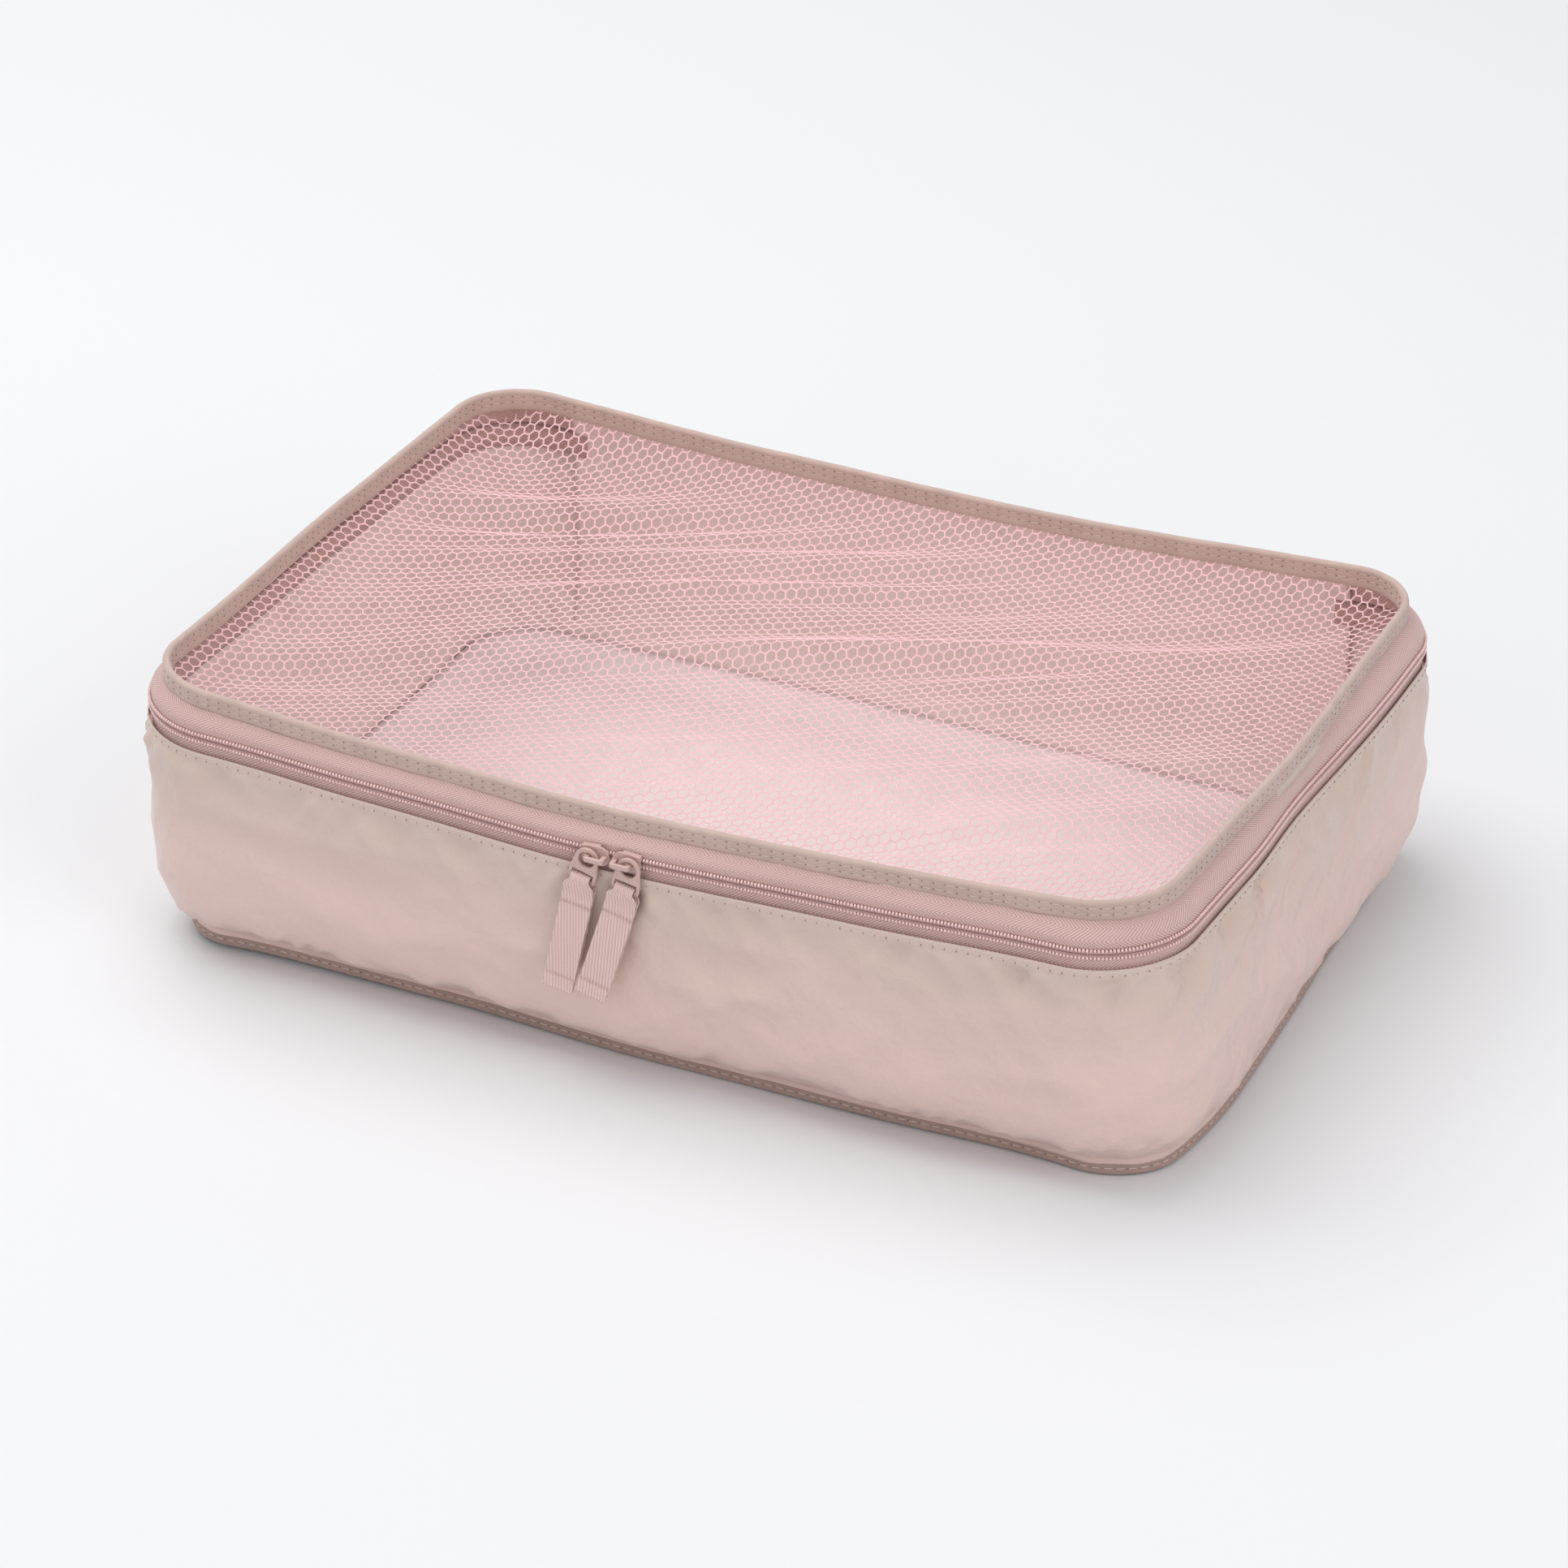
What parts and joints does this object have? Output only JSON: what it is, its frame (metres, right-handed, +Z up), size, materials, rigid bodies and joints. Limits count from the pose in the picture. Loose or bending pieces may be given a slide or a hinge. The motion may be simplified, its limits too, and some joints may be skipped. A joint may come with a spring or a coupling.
{
  "type": "packing cube",
  "caption": "Soft rectangular packing cube in nylon with a hinged net lid, a coil zip round three sides and twin sliders with ribbon pulls.",
  "frame": {"origin": "on the ground, under the middle of the tub", "axes": "+X along the long front edge, +Y from the front to the hinged back, +Z up"},
  "size_m": [0.4064, 0.2925, 0.105],
  "materials": {
    "body_nylon": "satin rose-beige nylon taffeta",
    "binding_tape": "beige-taupe woven binding tape",
    "sewing_thread": "beige polyester sewing thread",
    "zip_tape": "dusty pink herringbone zip tape",
    "zip_coil": "dusty pink nylon coil",
    "lid_mesh": "pale pink hexagonal net",
    "painted_zinc": "satin dusty pink paint on die-cast zinc",
    "pull_ribbon": "pale rose twill ribbon",
    "tack_thread": "rose tacking thread"
  },
  "bodies": {
    "tub": {"back_wall": "body_nylon", "bottom_lower_stitching": "sewing_thread", "bottom_panel": "body_nylon", "bottom_rim_binding": "binding_tape", "bottom_upper_stitching": "sewing_thread", "hem_stitching": "sewing_thread", "lower_zip_coil": "zip_coil", "lower_zip_tape": "zip_tape", "side_wall": "body_nylon"},
    "lid": {"mesh_panel": "lid_mesh", "lid_gusset": "body_nylon", "lid_back_gusset": "body_nylon", "top_rim_binding": "binding_tape", "rim_upper_stitching": "sewing_thread", "rim_lower_stitching": "sewing_thread", "upper_zip_tape": "zip_tape", "upper_zip_coil": "zip_coil"},
    "left_slider": {"left_slider_body": "painted_zinc", "left_slider_bridge": "painted_zinc"},
    "left_puller": {"left_puller": "painted_zinc"},
    "left_ribbon": {"left_ribbon": "pull_ribbon", "left_ribbon_upper_tack": "tack_thread", "left_ribbon_lower_tack": "tack_thread"},
    "right_slider": {"right_slider_body": "painted_zinc", "right_slider_bridge": "painted_zinc"},
    "right_puller": {"right_puller": "painted_zinc"},
    "right_ribbon": {"right_ribbon": "pull_ribbon", "right_ribbon_upper_tack": "tack_thread", "right_ribbon_lower_tack": "tack_thread"}
  },
  "joints": [
    {"name": "lid_hinge", "type": "hinge", "parent": "tub", "child": "lid", "pos_m": [0, 0.1416, 0.0905], "axis": [-1, 0, 0], "range_deg": [0, 180]},
    {"name": "left_slider_slide", "type": "slide", "parent": "tub", "child": "left_slider", "axis": [1, 0, 0], "range_m": [-0.15, 0]},
    {"name": "left_puller_swing", "type": "hinge", "parent": "left_slider", "child": "left_puller", "pos_m": [-0.0079, -0.144, 0.0905], "axis": [0, 1, 0], "range_deg": [0, 85]},
    {"name": "left_ribbon_lift", "type": "hinge", "parent": "left_puller", "child": "left_ribbon", "pos_m": [-0.01063, -0.144, 0.08098], "axis": [-0.989, 0, 0.1478], "range_deg": [0, 110]},
    {"name": "right_slider_slide", "type": "slide", "parent": "tub", "child": "right_slider", "axis": [1, 0, 0], "range_m": [0, 0.15]},
    {"name": "right_puller_swing", "type": "hinge", "parent": "right_slider", "child": "right_puller", "pos_m": [0.0079, -0.144, 0.0905], "axis": [0, -1, 0], "range_deg": [0, 90]},
    {"name": "right_ribbon_lift", "type": "hinge", "parent": "right_puller", "child": "right_ribbon", "pos_m": [0.00618, -0.144, 0.08075], "axis": [-0.9763, 0, 0.2164], "range_deg": [0, 110]}
  ]
}
